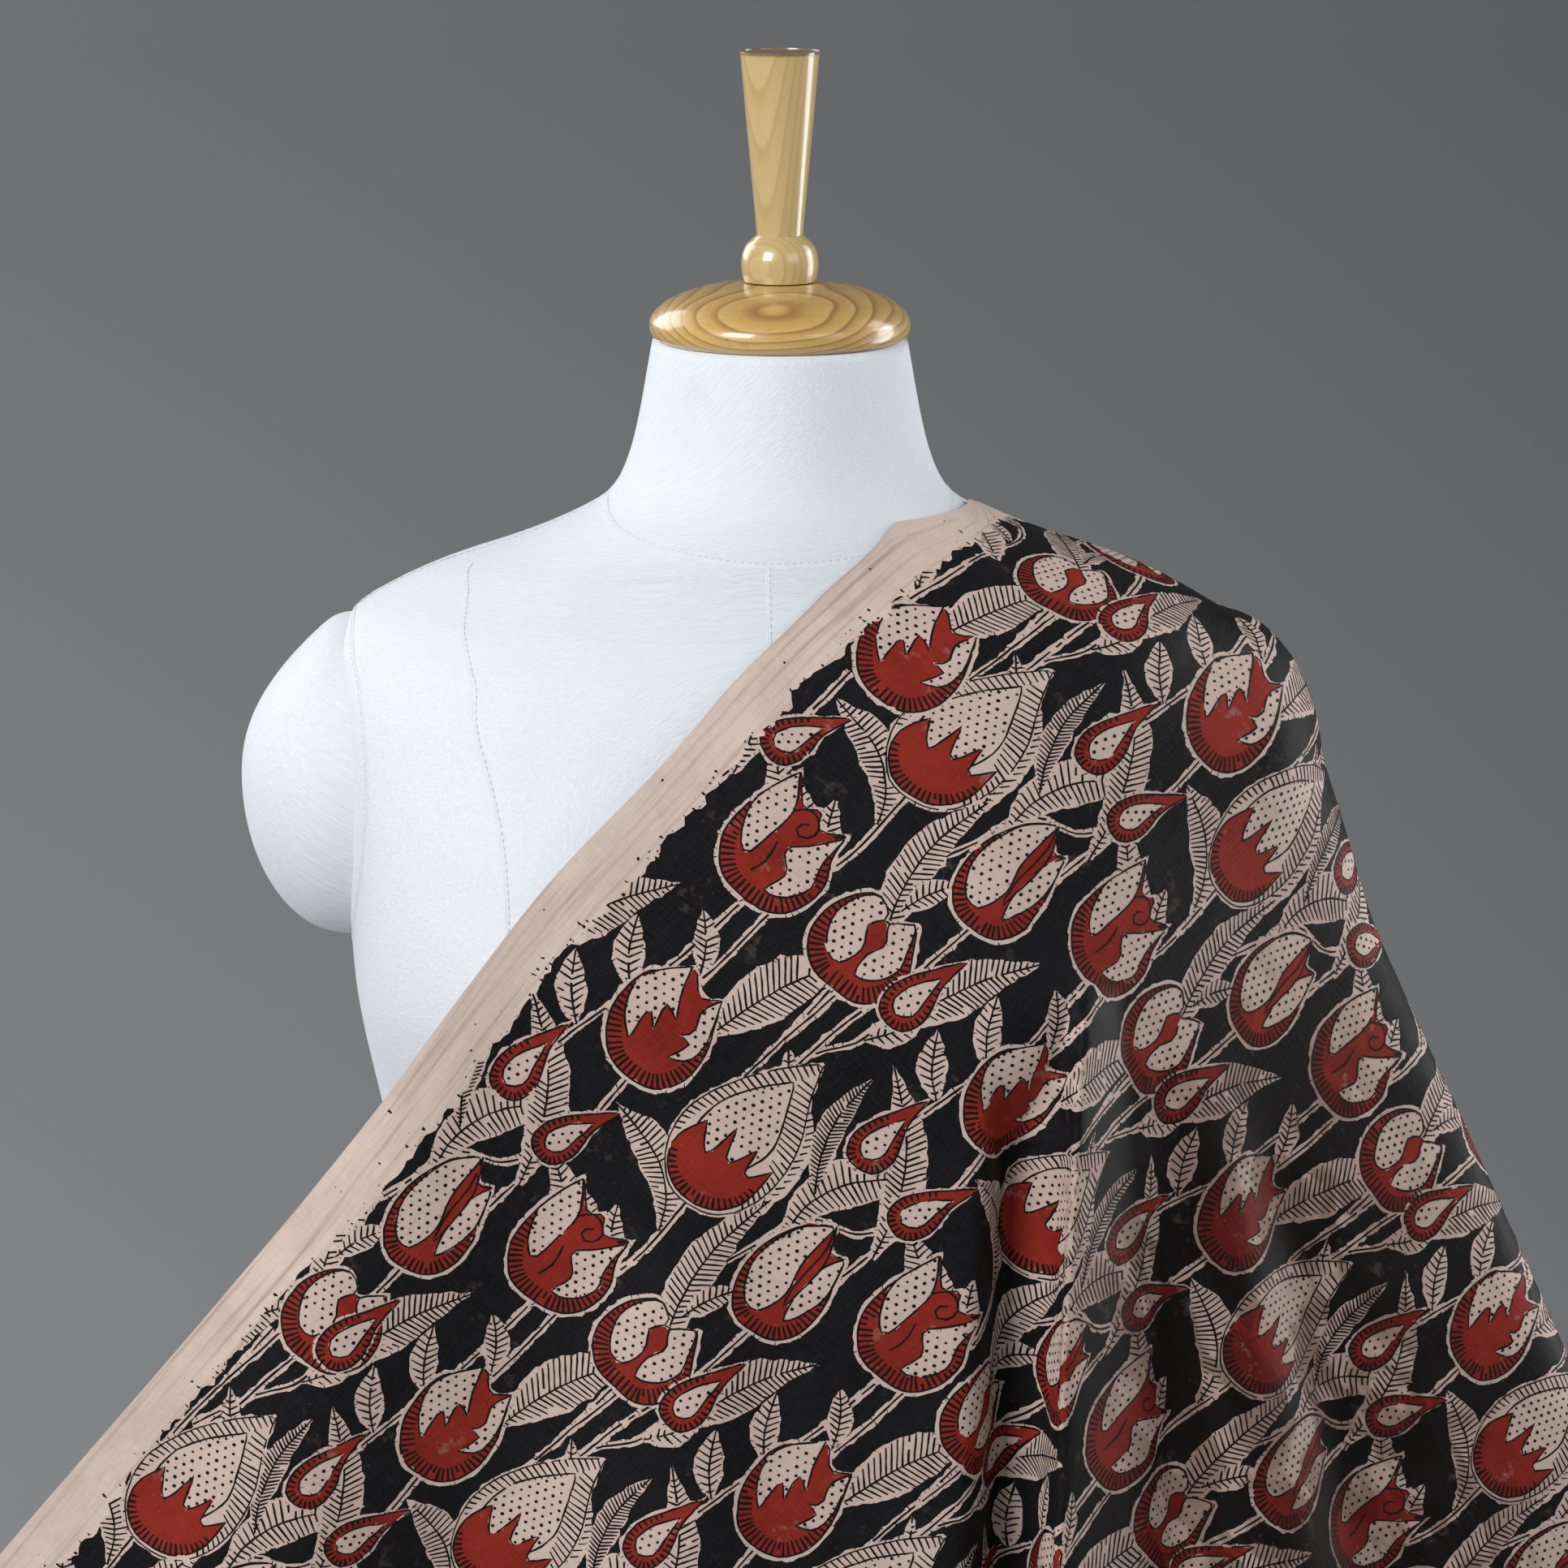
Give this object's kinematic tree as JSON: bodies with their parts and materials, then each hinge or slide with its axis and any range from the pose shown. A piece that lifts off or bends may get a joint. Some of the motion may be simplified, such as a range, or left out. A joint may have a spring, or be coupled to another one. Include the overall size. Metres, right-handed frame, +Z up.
{
  "type": "block printed silk fabric on a dress form",
  "caption": "Cut length of block printed silk draped over the shoulder of a canvas covered dress form with a turned wooden top, its hem lying out on the table.",
  "frame": {"origin": "centre of the dress form's flat underside, on the surface it stands on", "axes": "+Z up, -Y the way the form faces, +X towards the shoulder that the silk lies over"},
  "size_m": [1.0316, 0.3875, 0.8628],
  "materials": {
    "canvas": "plain woven cotton canvas, matt white",
    "honey_wood": "honey coloured wood under clear gloss varnish",
    "pale_wood": "straw coloured wood under clear gloss varnish",
    "printed_silk": "thin silk, block printed black and brick red on bare beige cloth, soft sheen"
  },
  "bodies": {
    "root": {"form_body": "canvas", "arm_cap_left": "canvas", "arm_cap_right": "canvas", "neck_cap": "honey_wood", "finial": "pale_wood", "silk": "printed_silk"}
  },
  "joints": []
}
